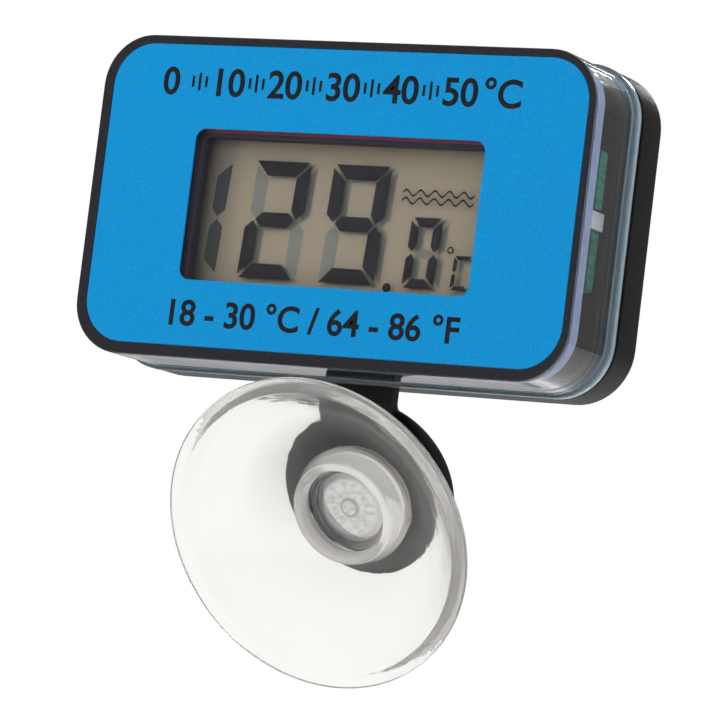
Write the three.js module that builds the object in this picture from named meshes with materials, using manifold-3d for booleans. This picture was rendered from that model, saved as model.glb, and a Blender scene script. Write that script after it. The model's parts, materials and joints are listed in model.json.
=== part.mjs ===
// Submersible digital aquarium thermometer on a suction cup.
// Millimetres, +Z up, display facing -Y. The origin is the centre of the suction cup's seating plane,
// where the cup meets the tank's glass. The case is upright; the cup's axis leans below it.
import * as THREE from 'three';
import { mergeVertices } from 'three/addons/utils/BufferGeometryUtils.js';
import Module from 'manifold-3d';

const wasm = await Module();
wasm.setup();

// ---------------------------------------------------------------- driving dimensions

const CLEARANCE = 0.05;        // between fixed neighbours
const RUNNING_GAP = 0.3;       // between the cup and the tab it turns in
const ROUND_SEGMENTS = 36;
const SMALL_SEGMENTS = 12;
const CORNER_SEGMENTS = 5;
const BELL_STEPS = 7;

// Case, measured from the face of the clear shell (y = 0) to the back of the black cover.
const FRONT = { width: 55, height: 32.6, corner: 5.3, edge: 0.15 };
const COVER = { width: 56, height: 33.2, corner: 5.8, edge: 0.5 };
const CASE_DEPTH = 15.1;
const PANEL = 1.4;              // thickness of the shell's face
const WALL = 1.3;
const LEDGE = { width: 1.5, depth: 1.8 };    // step round the inside of the shell, behind its face
const SHELL_DEPTH = 10.1;
const FLANGE = { proud: 0.35, front: 8.9 };
const COVER_FRONT = 10.3;
const COVER_WALL = 1.6;
const SPIGOT = { front: 6.9, gap: 0.2, wall: 1.3 };
const SEAL = { front: 7.9, back: 8.9, depth: 0.7 };

// Printed film on the front, with the window it leaves for the display.
const FILM_THICKNESS = 0.15;
const WINDOW = { width: 32.3, height: 15.3, corner: 1.1, x: 0.15, z: -0.75 };

// Liquid-crystal display, its frame and its rubber connector.
const FRAME = { width: 40, top: 10.6, bottom: -12.4, wall: 1.0, plate: 1.15 };
const OPENING = { width: 32.2, height: 14.8, corner: 0.6, x: 0.5, z: -1.2 };
const GLASS = { width: 37.6, top: 9.4, bottom: -11.2, ledge: 2.4, thickness: 0.5 };
const POLARISER = { width: 36.4, height: 17.4, thickness: 0.15, z: -0.25 };
const CONNECTOR = { width: 34, height: 1.9 };

// Circuit board and what is on its back.
const BOARD = { width: 46.6, height: 27.4, corner: 1.5, front: 4.75, thickness: 1.6 };
const BOARD_EAR = { width: 51.2, height: 14.0, corner: 0.5, x: 0, z: 0.5 };
const BOARD_NOTCH = { reach: 24.65, height: 2.3 };
const POST = { x: 21.6, z: 11.2, radius: 1.4, pin: 0.7, hole: 0.9, proud: 0.6 };
const HOOK = { height: 1.8, inner: 24.8, outer: 25.7, barb: 0.7, nose: 0.3, z: 0.5, gap: 0.1, length: 0.9 };
const HOOK_NOTCH = { width: 3.6, height: 3.2, depth: 0.8 };
const BLOB = { x: -15.5, z: 0.5, radius: 4.3, height: 1.2 };
const CHIP = { length: 2.0, width: 1.25 };
const RESISTORS = { height: 0.5, places: [[13.5, 6.2], [17.0, 6.2]] };
const CAPACITORS = { height: 1.1, places: [[13.5, 2.6], [-15.5, -8.2]] };
const THERMISTOR = { x: 22.4, y: 9.2, z: -10.6, radius: 1.05, stretch: 1.35, spread: 0.5 };
const LEAD_RADIUS = 0.2;

// Button cell and its screw cap. The cap is centred on the case's back.
const CELL = { radius: 5.8, front: 7.0, back: 12.4, poleRadius: 4.6, shoulder: 0.35, wall: 0.25, edge: 0.3 };
const GASKET = { front: 7.35, back: 8.05 };
const LEAF = { thickness: 0.2, width: 2.6, foot: -6.4, bend: -3.6, rise: -1.2, tip: 1.4 };
const BRACKET = { reach: 2.6, width: 3.2 };
const BOSS = { radius: 10.2, front: 9.6, bore: 6.05, lip: 10.45 };
const CAP = { radius: 9.0, back: 15.0, flangeFront: 13.15, edge: 0.3 };
const SKIRT = { radius: 7.4, bore: 6.3, front: 10.6, floorGap: 0.2 };
const CAP_SEAT = { radius: 9.3, front: 12.9 };
const CAP_RING = { radius: 8.1, section: 0.52, seat: 8.85, front: 12.0 };
const THREAD_BORE = 7.7;
const COIN_SLOT = { length: 12.5, width: 1.7, depth: 0.9 };

// Tab under the cover and the suction cup held in it.
const TAB_LEAN = THREE.MathUtils.degToRad(28);
const TAB = { radius: 9.2, rise: 0.5, hole: 5.4, thickness: 1.8, setback: 0.2, reach: 9.7 };
const NECK = { width: 7.8, length: 1.6, overlap: 0.3 };
const CUP = { rim: 16.5, edge: 0.55, lip: 1.5, wall: 1.2, shoulder: 6.0, tabDistance: 11.9 };
const HUB = { radius: 5.5, face: 5.6, proud: 2.6, rib: 0.9, recess: 3.8, floor: 7.5 };
const KNOB = { radius: 6.7, side: 0.9, slope: 0.9, dome: 2.4, bevel: 2.2, height: 2.8 };

// ---------------------------------------------------------------- places that follow from them

const shellInner = inset(FRONT, WALL);
const spigotOuter = inset(shellInner, SPIGOT.gap);
const coverCavity = inset(spigotOuter, SPIGOT.wall);
const frameFront = PANEL + CLEARANCE;
const frameBack = frameFront + FRAME.plate;
const frontGlassFront = frameBack + POLARISER.thickness + 2 * CLEARANCE;
const rearGlassFront = frontGlassFront + GLASS.thickness + CLEARANCE;
const rearPolariserFront = rearGlassFront + GLASS.thickness + CLEARANCE;
const boardBack = BOARD.front + BOARD.thickness;
const neckMiddle = COVER_FRONT + TAB.setback + TAB.thickness / 2;
const neckBottom = -COVER.height / 2 - NECK.length;
const tabHole = {
  y: neckMiddle + TAB.reach * Math.sin(TAB_LEAN),
  z: neckBottom - TAB.reach * Math.cos(TAB_LEAN),
};

// ---------------------------------------------------------------- shapes and solids

function inset(outline, distance) {
  return {
    width: outline.width - 2 * distance,
    height: outline.height - 2 * distance,
    corner: outline.corner - distance,
  };
}

function roundedRectangle({ width, height, corner, x = 0, z = 0 }) {
  const right = x + width / 2;
  const top = z + height / 2;
  const left = x - width / 2;
  const bottom = z - height / 2;
  const shape = new THREE.Shape();
  shape.moveTo(left + corner, bottom);
  shape.lineTo(right - corner, bottom);
  shape.absarc(right - corner, bottom + corner, corner, -Math.PI / 2, 0);
  shape.lineTo(right, top - corner);
  shape.absarc(right - corner, top - corner, corner, 0, Math.PI / 2);
  shape.lineTo(left + corner, top);
  shape.absarc(left + corner, top - corner, corner, Math.PI / 2, Math.PI);
  shape.lineTo(left, bottom + corner);
  shape.absarc(left + corner, bottom + corner, corner, Math.PI, 1.5 * Math.PI);
  shape.closePath();
  return shape;
}

// A slab whose outline lies in XZ, from y = front to y = back.
function slab(outline, front, back) {
  const shape = outline instanceof THREE.Shape ? outline : roundedRectangle(outline);
  const geometry = new THREE.ExtrudeGeometry(shape, {
    depth: back - front,
    bevelEnabled: false,
    curveSegments: CORNER_SEGMENTS,
  });
  return geometry.rotateX(Math.PI / 2).translate(0, back, 0);
}

// The same slab with both outer edges rounded over.
function softSlab(outline, front, back, edge) {
  const geometry = new THREE.ExtrudeGeometry(roundedRectangle(outline), {
    depth: back - front - 2 * edge,
    bevelThickness: edge,
    bevelSize: edge,
    bevelOffset: -edge,
    bevelSegments: 3,
    curveSegments: CORNER_SEGMENTS,
  });
  return geometry.rotateX(Math.PI / 2).translate(0, back - edge, 0);
}

function box(left, right, front, back, bottom, top) {
  const geometry = new THREE.BoxGeometry(right - left, back - front, top - bottom);
  return geometry.translate((left + right) / 2, (front + back) / 2, (bottom + top) / 2);
}

function disc(radius, front, back) {
  const geometry = new THREE.CylinderGeometry(radius, radius, back - front, ROUND_SEGMENTS);
  return geometry.translate(0, (front + back) / 2, 0);
}

function peg(radius, front, back, x, z) {
  const geometry = new THREE.CylinderGeometry(radius, radius, back - front, SMALL_SEGMENTS);
  return geometry.translate(x, (front + back) / 2, z);
}

// A body of revolution about the Y axis. The profile is [radius, y] pairs, up the outside first.
function turned(profile, segments = ROUND_SEGMENTS) {
  const points = profile.map(([radius, y]) => new THREE.Vector2(radius, y));
  return new THREE.LatheGeometry(points, segments);
}

// A round wire along a smooth curve through the given points.
function wire(points, radius, steps = 10) {
  const section = new THREE.Shape();
  section.absarc(0, 0, radius, 0, 2 * Math.PI);
  const path = new THREE.CatmullRomCurve3(points.map((point) => new THREE.Vector3(...point)));
  return new THREE.ExtrudeGeometry(section, { steps, extrudePath: path, curveSegments: SMALL_SEGMENTS / 2 });
}

function welded(geometry) {
  const bare = geometry.clone();
  bare.deleteAttribute('normal');
  bare.deleteAttribute('uv');
  const merged = mergeVertices(bare, 1e-4);
  const kept = [];
  const index = merged.index.array;
  for (let i = 0; i < index.length; i += 3) {
    const [a, b, c] = [index[i], index[i + 1], index[i + 2]];
    if (a !== b && b !== c && c !== a) kept.push(a, b, c);
  }
  merged.setIndex(kept);
  return merged;
}

function solid(geometry) {
  const merged = welded(geometry);
  return new wasm.Manifold(new wasm.Mesh({
    numProp: 3,
    vertProperties: new Float32Array(merged.attributes.position.array),
    triVerts: new Uint32Array(merged.index.array),
  }));
}

function geometryOf(body) {
  const mesh = body.getMesh();
  const geometry = new THREE.BufferGeometry();
  geometry.setAttribute('position', new THREE.BufferAttribute(mesh.vertProperties, 3));
  geometry.setIndex(new THREE.BufferAttribute(mesh.triVerts, 1));
  return geometry;
}

function join(...geometries) {
  return geometryOf(geometries.map(solid).reduce((whole, next) => whole.add(next)));
}

function cut(base, ...tools) {
  return geometryOf(tools.map(solid).reduce((whole, tool) => whole.subtract(tool), solid(base)));
}

// ---------------------------------------------------------------- case

function frontShell() {
  const walls = slab(FRONT, PANEL / 2, SHELL_DEPTH);
  const face = softSlab(FRONT, 0, 2 * PANEL, FRONT.edge);
  const flange = slab(inset(FRONT, -FLANGE.proud), FLANGE.front, SHELL_DEPTH);
  const well = slab(shellInner, PANEL + LEDGE.depth, SHELL_DEPTH + 1);
  const floor = slab(inset(shellInner, LEDGE.width), PANEL, SHELL_DEPTH + 1);
  const tray = cut(join(walls, face, flange), well, floor);
  const parts = [tray];
  for (const side of [-1, 1]) {
    for (const level of [-1, 1]) {
      const [x, z] = [side * POST.x, level * POST.z];
      parts.push(peg(POST.radius, PANEL / 2, BOARD.front - CLEARANCE, x, z));
      parts.push(peg(POST.pin, PANEL, boardBack + POST.proud, x, z));
    }
    parts.push(snapHook(side));
  }
  return join(...parts);
}

// A finger that reaches past the board's edge, with a barb behind it.
function snapHook(side) {
  const barbFront = boardBack + HOOK.gap;
  const barbBack = barbFront + HOOK.length;
  const outline = new THREE.Shape();
  outline.moveTo(HOOK.inner, PANEL / 2);
  outline.lineTo(HOOK.outer, PANEL / 2);
  outline.lineTo(HOOK.outer, barbBack);
  outline.lineTo(HOOK.inner, barbBack);
  outline.lineTo(HOOK.inner - HOOK.barb, barbFront + HOOK.nose);
  outline.lineTo(HOOK.inner - HOOK.barb, barbFront);
  outline.lineTo(HOOK.inner, barbFront);
  outline.closePath();
  const geometry = new THREE.ExtrudeGeometry(outline, { depth: HOOK.height, bevelEnabled: false });
  geometry.translate(0, 0, HOOK.z - HOOK.height / 2);
  if (side < 0) geometry.translate(0, 0, -2 * HOOK.z).rotateY(Math.PI);
  return geometry;
}

function frontLabel() {
  const outline = roundedRectangle(inset(FRONT, FRONT.edge));
  outline.holes.push(roundedRectangle(WINDOW));
  return slab(outline, -FILM_THICKNESS, 0);
}

function rearCover() {
  const shellBack = softSlab(COVER, COVER_FRONT, CASE_DEPTH, COVER.edge);
  const squareRim = slab(COVER, COVER_FRONT, (COVER_FRONT + CASE_DEPTH) / 2);
  const spigot = slab(spigotOuter, SPIGOT.front, COVER_FRONT + 1);
  const hollow = slab(coverCavity, SPIGOT.front - 1, CASE_DEPTH - COVER_WALL);
  const notches = [-1, 1].map((side) => {
    const left = side * HOOK.outer - HOOK_NOTCH.width / 2;
    const right = left + HOOK_NOTCH.width;
    const bottom = HOOK.z - HOOK_NOTCH.height / 2;
    const top = bottom + HOOK_NOTCH.height;
    return box(left, right, SPIGOT.front - 1, SPIGOT.front + HOOK_NOTCH.depth, bottom, top);
  });
  const tray = cut(join(shellBack, squareRim, spigot), hollow, sealGroove(), ...notches);
  const boss = disc(BOSS.radius, BOSS.front, CASE_DEPTH - COVER_WALL / 2);
  const body = join(tray, boss, tabNeck(), tabRing());
  return cut(
    body,
    disc(BOSS.bore, BOSS.front - 1, CASE_DEPTH + 1),
    disc(THREAD_BORE, BOSS.lip, CASE_DEPTH + 1),
    disc(CAP_RING.seat, CAP_RING.front, CASE_DEPTH + 1),
    disc(CAP_SEAT.radius, CAP_SEAT.front, CASE_DEPTH + 1),
  );
}

function sealGroove() {
  const outline = roundedRectangle(inset(spigotOuter, -1));
  outline.holes.push(roundedRectangle(inset(spigotOuter, SEAL.depth)));
  return slab(outline, SEAL.front - CLEARANCE, SEAL.back + CLEARANCE);
}

function caseSeal() {
  const outline = roundedRectangle(inset(shellInner, CLEARANCE));
  outline.holes.push(roundedRectangle(inset(spigotOuter, SEAL.depth - CLEARANCE)));
  return slab(outline, SEAL.front, SEAL.back);
}

function tabNeck() {
  const half = NECK.width / 2;
  const front = neckMiddle - TAB.thickness / 2;
  return box(-half, half, front, front + TAB.thickness, neckBottom - NECK.overlap, -COVER.height / 2 + WALL);
}

function tabRing() {
  const half = NECK.width / 2;
  const outline = new THREE.Shape();
  const start = Math.asin(half / TAB.radius);
  outline.moveTo(-half, TAB.reach);
  outline.absarc(0, TAB.rise, TAB.radius, Math.PI / 2 + start, 2.5 * Math.PI - start);
  outline.lineTo(half, TAB.reach);
  outline.closePath();
  const hole = new THREE.Path();
  hole.absarc(0, 0, TAB.hole, 0, 2 * Math.PI, true);
  outline.holes.push(hole);
  const plate = new THREE.ExtrudeGeometry(outline, {
    depth: TAB.thickness,
    bevelEnabled: false,
    curveSegments: ROUND_SEGMENTS,
  });
  plate.rotateX(Math.PI / 2).translate(0, TAB.thickness / 2, 0);
  return plate.rotateX(TAB_LEAN).translate(0, tabHole.y, tabHole.z);
}

// ---------------------------------------------------------------- display

function lcdFrame() {
  const outer = {
    width: FRAME.width,
    height: FRAME.top - FRAME.bottom,
    corner: 1,
    z: (FRAME.top + FRAME.bottom) / 2,
  };
  const pocket = { ...inset(outer, FRAME.wall), corner: 0.4, z: outer.z };
  const block = slab(outer, frameFront, BOARD.front - CLEARANCE);
  return cut(block, slab(OPENING, 0, frameBack + 1), slab(pocket, frameBack, BOARD.front + 1));
}

function glassSheet(front, bottom) {
  const half = GLASS.width / 2;
  return box(-half, half, front, front + GLASS.thickness, bottom, GLASS.top);
}

function polariser(front) {
  const half = POLARISER.width / 2;
  const [bottom, top] = [POLARISER.z - POLARISER.height / 2, POLARISER.z + POLARISER.height / 2];
  return box(-half, half, front, front + POLARISER.thickness, bottom, top);
}

function connectorStrip() {
  const half = CONNECTOR.width / 2;
  const bottom = GLASS.bottom + CLEARANCE;
  const top = bottom + CONNECTOR.height;
  return box(-half, half, rearGlassFront, BOARD.front - CLEARANCE, bottom, top);
}

// ---------------------------------------------------------------- circuit

// The board widens at half height, where the snap hooks pass through a notch at each end.
function circuitBoard() {
  const outline = roundedRectangle(BOARD);
  for (const x of [-POST.x, POST.x]) {
    for (const z of [-POST.z, POST.z]) {
      const hole = new THREE.Path();
      hole.absarc(x, z, POST.hole, 0, 2 * Math.PI, true);
      outline.holes.push(hole);
    }
  }
  const ears = slab(BOARD_EAR, BOARD.front, boardBack);
  const bottom = HOOK.z - BOARD_NOTCH.height / 2;
  const top = bottom + BOARD_NOTCH.height;
  const notches = [-1, 1].map((side) => {
    const [left, right] = [side * BOARD_NOTCH.reach, side * (BOARD_EAR.width / 2 + 1)].sort((a, b) => a - b);
    return box(left, right, BOARD.front - 1, boardBack + 1, bottom, top);
  });
  return cut(join(slab(outline, BOARD.front, boardBack), ears), ...notches);
}

function chipBlob() {
  const base = boardBack + CLEARANCE;
  const profile = [[0, base], [BLOB.radius, base]];
  for (let step = 1; step <= 5; step += 1) {
    const angle = (step / 6) * (Math.PI / 2);
    profile.push([BLOB.radius * Math.cos(angle), base + BLOB.height * Math.sin(angle)]);
  }
  profile.push([0, base + BLOB.height]);
  return turned(profile, 24).translate(BLOB.x, 0, BLOB.z);
}

function surfacePart([x, z], height) {
  const base = boardBack + CLEARANCE;
  const [length, width] = [CHIP.length / 2, CHIP.width / 2];
  return box(x - length, x + length, base, base + height, z - width, z + width);
}

function thermistorBead() {
  const bead = new THREE.SphereGeometry(THERMISTOR.radius, 16, 8);
  return bead.scale(1, 1, THERMISTOR.stretch).translate(THERMISTOR.x, THERMISTOR.y, THERMISTOR.z);
}

// A lead from the bead up and forward to the board; side is -1 for the inner lead, 1 for the outer.
function thermistorLead(side) {
  const x = THERMISTOR.x + side * THERMISTOR.spread;
  const start = THERMISTOR.z + THERMISTOR.stretch * THERMISTOR.radius;
  const board = boardBack + CLEARANCE;
  return wire([
    [x, THERMISTOR.y, start],
    [x - 0.2, THERMISTOR.y, start + 1.6],
    [x - 1.2 + side, THERMISTOR.y - 0.9, start + 3.2],
    [x - 1.6 + 1.6 * side, board + 0.7, start + 4.0],
    [x - 1.7 + 1.7 * side, board, start + 4.2],
  ], LEAD_RADIUS);
}

// ---------------------------------------------------------------- power

function cellCan() {
  const inner = CELL.radius - CELL.wall;
  const foot = GASKET.front + 0.15;
  return turned([
    [inner, foot],
    [CELL.radius, foot],
    [CELL.radius, CELL.back - CELL.edge],
    [CELL.radius - CELL.edge, CELL.back],
    [0, CELL.back],
    [0, CELL.back - CELL.wall],
    [inner, CELL.back - CELL.wall],
    [inner, foot],
  ]);
}

function cellPole() {
  const shoulder = CELL.poleRadius + CELL.shoulder;
  const [step, end] = [GASKET.back + CLEARANCE, CELL.back - CELL.wall - CLEARANCE];
  return turned([
    [0, CELL.front],
    [CELL.poleRadius - CELL.edge, CELL.front],
    [CELL.poleRadius, CELL.front + CELL.edge],
    [CELL.poleRadius, step],
    [shoulder, step],
    [shoulder, end],
    [0, end],
  ]);
}

function cellGasket() {
  const inner = CELL.poleRadius + CLEARANCE;
  const outer = CELL.radius - CELL.wall - CLEARANCE;
  const { front, back } = GASKET;
  return turned([[inner, front], [outer, front], [outer, back], [inner, back], [inner, front]]);
}

// A leaf sprung up from the board to the cell's pole.
function poleContact() {
  const base = boardBack + CLEARANCE;
  const top = CELL.front - CLEARANCE;
  const leaf = new THREE.Shape();
  leaf.moveTo(LEAF.foot, base);
  leaf.lineTo(LEAF.bend, base);
  leaf.lineTo(LEAF.rise, top - LEAF.thickness);
  leaf.lineTo(LEAF.tip, top - LEAF.thickness);
  leaf.lineTo(LEAF.tip, top);
  leaf.lineTo(LEAF.rise - 0.1, top);
  leaf.lineTo(LEAF.bend - 0.1, base + LEAF.thickness);
  leaf.lineTo(LEAF.foot, base + LEAF.thickness);
  leaf.closePath();
  const geometry = new THREE.ExtrudeGeometry(leaf, { depth: LEAF.width, bevelEnabled: false });
  return geometry.translate(0, 0, -LEAF.width / 2);
}

// An angle bracket whose upright leaf touches the side of the cell's can.
function canContact() {
  const base = boardBack + CLEARANCE;
  const near = CELL.radius + CLEARANCE;
  const half = BRACKET.width / 2;
  const foot = box(near, near + BRACKET.reach, base, base + LEAF.thickness, -half, half);
  const leaf = box(near, near + LEAF.thickness, base, BOSS.front - RUNNING_GAP, -half, half);
  return join(foot, leaf);
}

function batteryCap() {
  const floor = CELL.back + SKIRT.floorGap;
  const body = turned([
    [0, floor],
    [SKIRT.bore, floor],
    [SKIRT.bore, SKIRT.front],
    [SKIRT.radius, SKIRT.front],
    [SKIRT.radius, CAP.flangeFront],
    [CAP.radius, CAP.flangeFront],
    [CAP.radius, CAP.back - CAP.edge],
    [CAP.radius - CAP.edge, CAP.back],
    [0, CAP.back],
  ]);
  const half = COIN_SLOT.length / 2;
  const side = COIN_SLOT.width / 2;
  return cut(body, box(-half, half, CAP.back - COIN_SLOT.depth, CAP.back + 1, -side, side));
}

function capRing() {
  const ring = new THREE.TorusGeometry(CAP_RING.radius, CAP_RING.section, SMALL_SEGMENTS, ROUND_SEGMENTS);
  const middle = CAP_RING.front + CAP_RING.section + CLEARANCE;
  return ring.rotateX(Math.PI / 2).translate(0, middle, 0);
}

// ---------------------------------------------------------------- suction cup

// One soft moulding: thin bell, recessed hub, shoulder against the tab, stem through it and knob
// behind it. Its own Y axis points from the glass towards the tab.
function suctionCup() {
  const tabFront = CUP.tabDistance - TAB.thickness / 2 - RUNNING_GAP;
  const tabBack = CUP.tabDistance + TAB.thickness / 2 + RUNNING_GAP;
  const stem = TAB.hole - RUNNING_GAP;
  const inside = bellCurve();
  const profile = [
    [0, HUB.floor],
    [HUB.recess, HUB.floor],
    [HUB.radius - HUB.rib, HUB.face],
    [HUB.radius, HUB.face],
    ...inside.getPoints(BELL_STEPS).map((point) => [point.x, point.y]),
    [CUP.rim, 0],
    [CUP.rim, CUP.edge],
    ...bellBack(inside),
    [CUP.shoulder, tabFront],
    [stem, tabFront],
    [stem, tabBack],
    [KNOB.radius, tabBack],
    [KNOB.radius, tabBack + KNOB.side],
    [KNOB.radius - KNOB.slope, tabBack + KNOB.bevel],
    [KNOB.radius - KNOB.dome, tabBack + KNOB.height],
    [0, tabBack + KNOB.height],
  ];
  return turned(profile);
}

// The bell's inner surface, from the hub out to the flat lip.
function bellCurve() {
  const root = HUB.face + HUB.proud;
  return new THREE.CubicBezierCurve(
    new THREE.Vector2(HUB.radius, root),
    new THREE.Vector2(HUB.radius + 3.3, root - 0.5),
    new THREE.Vector2(CUP.rim - 3.9, 3.4),
    new THREE.Vector2(CUP.rim - CUP.lip, 0),
  );
}

// The bell's outer surface: the inner one moved out by the wall, from the lip in to the shoulder.
function bellBack(inside) {
  const points = [];
  for (let step = BELL_STEPS; step >= 1; step -= 1) {
    const point = inside.getPoint(step / BELL_STEPS);
    const along = inside.getTangent(step / BELL_STEPS);
    points.push([point.x - along.y * CUP.wall, point.y + along.x * CUP.wall]);
  }
  points.push([CUP.shoulder, HUB.face + HUB.proud + CUP.wall + 0.3]);
  return points;
}

// ---------------------------------------------------------------- assembly

const finish = {
  clear: { color: 0xe4ecf2, roughness: 0.08, metalness: 0 },
  blue: { color: 0x1c8ed8, roughness: 0.65, metalness: 0 },
  black: { color: 0x17181a, roughness: 0.45, metalness: 0 },
  rubber: { color: 0x2b2b2d, roughness: 0.8, metalness: 0 },
  glass: { color: 0xbcbda8, roughness: 0.05, metalness: 0 },
  polariser: { color: 0x9b9c86, roughness: 0.35, metalness: 0 },
  board: { color: 0x1f6b3a, roughness: 0.5, metalness: 0 },
  ceramic: { color: 0xb89a6a, roughness: 0.6, metalness: 0 },
  steel: { color: 0xb9bcc0, roughness: 0.3, metalness: 1 },
  brass: { color: 0xc9a860, roughness: 0.3, metalness: 1 },
  pvc: { color: 0xdfe4e6, roughness: 0.15, metalness: 0 },
};

function piece(name, geometry, look) {
  const mesh = new THREE.Mesh(welded(geometry), new THREE.MeshStandardMaterial(look));
  mesh.name = name;
  return mesh;
}

const casing = new THREE.Group();
casing.add(
  piece('front_shell', frontShell(), finish.clear),
  piece('front_label', frontLabel(), finish.blue),
  piece('rear_cover', rearCover(), finish.black),
  piece('case_seal', caseSeal(), finish.rubber),
  piece('lcd_frame', lcdFrame(), finish.black),
  piece('lcd_front_polariser', polariser(frameBack + CLEARANCE), finish.polariser),
  piece('lcd_front_glass', glassSheet(frontGlassFront, GLASS.bottom), finish.glass),
  piece('lcd_rear_glass', glassSheet(rearGlassFront, GLASS.bottom + GLASS.ledge), finish.glass),
  piece('lcd_rear_polariser', polariser(rearPolariserFront), finish.polariser),
  piece('lcd_connector_strip', connectorStrip(), finish.rubber),
  piece('circuit_board', circuitBoard(), finish.board),
  piece('chip_blob', chipBlob(), finish.black),
  piece('thermistor_bead', thermistorBead(), finish.black),
  piece('thermistor_lead_inner', thermistorLead(-1), finish.steel),
  piece('thermistor_lead_outer', thermistorLead(1), finish.steel),
  piece('button_cell_can', cellCan(), finish.steel),
  piece('button_cell_pole', cellPole(), finish.steel),
  piece('button_cell_gasket', cellGasket(), finish.rubber),
  piece('battery_contact_pole', poleContact(), finish.brass),
  piece('battery_contact_can', canContact(), finish.brass),
  piece('battery_cap', batteryCap(), finish.black),
  piece('battery_cap_ring', capRing(), finish.rubber),
);
RESISTORS.places.forEach((place, i) => {
  casing.add(piece(`resistor_${i + 1}`, surfacePart(place, RESISTORS.height), finish.black));
});
CAPACITORS.places.forEach((place, i) => {
  casing.add(piece(`capacitor_${i + 1}`, surfacePart(place, CAPACITORS.height), finish.ceramic));
});
casing.position.set(
  0,
  CUP.tabDistance * Math.cos(TAB_LEAN) - tabHole.y,
  CUP.tabDistance * Math.sin(TAB_LEAN) - tabHole.z,
);

const cupHolder = new THREE.Group();
cupHolder.rotation.x = TAB_LEAN;
cupHolder.add(piece('suction_cup', suctionCup(), finish.pvc));

const thermometer = new THREE.Group();
thermometer.add(casing, cupHolder);

export default thermometer;
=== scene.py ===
"""Looks for the submersible digital aquarium thermometer: case, label, display, board and suction cup."""
import json
import math
from types import SimpleNamespace as Sizes

import bmesh
import bpy
from mathutils import Matrix, Vector


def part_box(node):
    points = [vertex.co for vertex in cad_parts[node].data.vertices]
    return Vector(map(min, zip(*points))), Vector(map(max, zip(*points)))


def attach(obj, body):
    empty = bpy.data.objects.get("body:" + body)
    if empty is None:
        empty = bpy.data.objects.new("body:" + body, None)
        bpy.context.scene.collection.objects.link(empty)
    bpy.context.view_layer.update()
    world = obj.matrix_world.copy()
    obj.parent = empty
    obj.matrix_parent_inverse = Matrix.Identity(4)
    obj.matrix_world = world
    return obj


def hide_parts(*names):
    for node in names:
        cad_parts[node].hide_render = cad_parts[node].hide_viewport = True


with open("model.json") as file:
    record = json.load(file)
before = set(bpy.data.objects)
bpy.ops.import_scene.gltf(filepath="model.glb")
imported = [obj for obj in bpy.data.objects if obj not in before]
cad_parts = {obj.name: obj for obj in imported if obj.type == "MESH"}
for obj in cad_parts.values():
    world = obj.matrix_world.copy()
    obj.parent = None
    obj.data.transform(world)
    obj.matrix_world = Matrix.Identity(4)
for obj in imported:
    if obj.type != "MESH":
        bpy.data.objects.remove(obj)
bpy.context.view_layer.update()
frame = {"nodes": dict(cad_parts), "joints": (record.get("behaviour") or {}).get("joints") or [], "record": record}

# -------- places taken from the frame

MM = 0.001


def box_mm(node):
    """A CAD node's lowest and highest corner in millimetres."""
    low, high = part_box(node)
    return Vector(low) / MM, Vector(high) / MM


def named(rows, name):
    """The mount or joint of that name."""
    return next(row for row in rows if row["name"] == name)


SHELL_LOW, SHELL_HIGH = box_mm("front_shell")
BOARD_LOW, BOARD_HIGH = box_mm("circuit_board")
FACE_Y = SHELL_LOW.y
MIDDLE_Z = (SHELL_LOW.z + SHELL_HIGH.z) / 2
SEAT = named(frame["record"]["mounts"], "glass_seat")
REAR = named(frame["record"]["mounts"], "rear_face")
TURN = named(frame["joints"], "case_turn_on_cup")
LEAN = math.atan2(-SEAT["axis"][2], -SEAT["axis"][1])
TAB_HOLE = Vector(TURN["pos_m"]) / MM
CASE_DEPTH = REAR["pos_m"][1] / MM - FACE_Y

# Case coordinates: x right, y from the shell's face backwards, z up from the case's middle.
CASE = Matrix.Translation((0, FACE_Y, MIDDLE_Z))
# Cup coordinates: origin in the middle of the seat, y away from the glass along the cup's axis.
CUP = Matrix.Rotation(LEAN, 4, "X")
# Tab coordinates: the same directions, origin in the middle of the tab's hole.
TAB = Matrix.Translation(TAB_HOLE) @ CUP

# -------- sizes in millimetres

FRONT = (55.0, 32.6, 5.3)    # width, height and corner radius
COVER = (56.0, 33.2, 5.8)
JOIN = 0.02                  # space between two pieces of one moulding
CORNER_STEPS = 12

# Front shell, by depth behind its face.
PANEL = 1.4
WALL = 1.3
LEDGE = Sizes(width=1.5, depth=1.8, edge=0.12)
FLANGE_FRONT = 8.9
FLANGE_REACH = 0.35
SHELL_DEPTH = 10.1
POST = Sizes(x=21.6, z=11.2, radius=1.4, pin=0.7, step=0.1, proud=0.6)
HOOK = Sizes(inner=24.8, outer=25.7, tooth=24.1, gap=0.1, barb=0.3, tip=0.9, bottom=-0.4, top=1.4, edge=0.12)

# Rear cover, by depth behind the shell's face.
COVER_FRONT = 10.3
COVER_WALL = 1.6
SPIGOT = Sizes(gap=0.2, front=6.9, wall=1.3, groove_front=7.85, groove_back=8.95, groove=0.7)
WELL = Sizes(radius=10.2, front=9.6, cover=0.8)
# The bore's steps, as (radius, depth).
BORE = [(6.05, 8.0), (6.05, 10.45), (7.7, 10.45), (7.7, 12.0), (8.85, 12.0), (8.85, 12.9), (9.3, 12.9)]
BORE_EDGE = 0.25
NECK = Sizes(bottom=-18.5, top=-15.6, edge=0.25)
TAB_SIZE = Sizes(radius=9.2, rise=0.5, hole=5.4, reach=10.0, half=3.9, thickness=1.8, setback=0.2, edge=0.3)
SEAL = Sizes(front=7.9, back=8.9, depth=0.8, gap=0.05, corner=0.3)
CAP = Sizes(boss=6.3, boss_front=10.6, floor=12.6, skirt=7.4, under_head=13.15, head=9.0, rim=7.9, dish=0.15)
SLOT = Sizes(length=12.5, width=1.7, depth=0.9, edge=0.2)
CAP_RING = (8.1, 0.5)        # radius to the middle of its section, radius of the section

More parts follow.
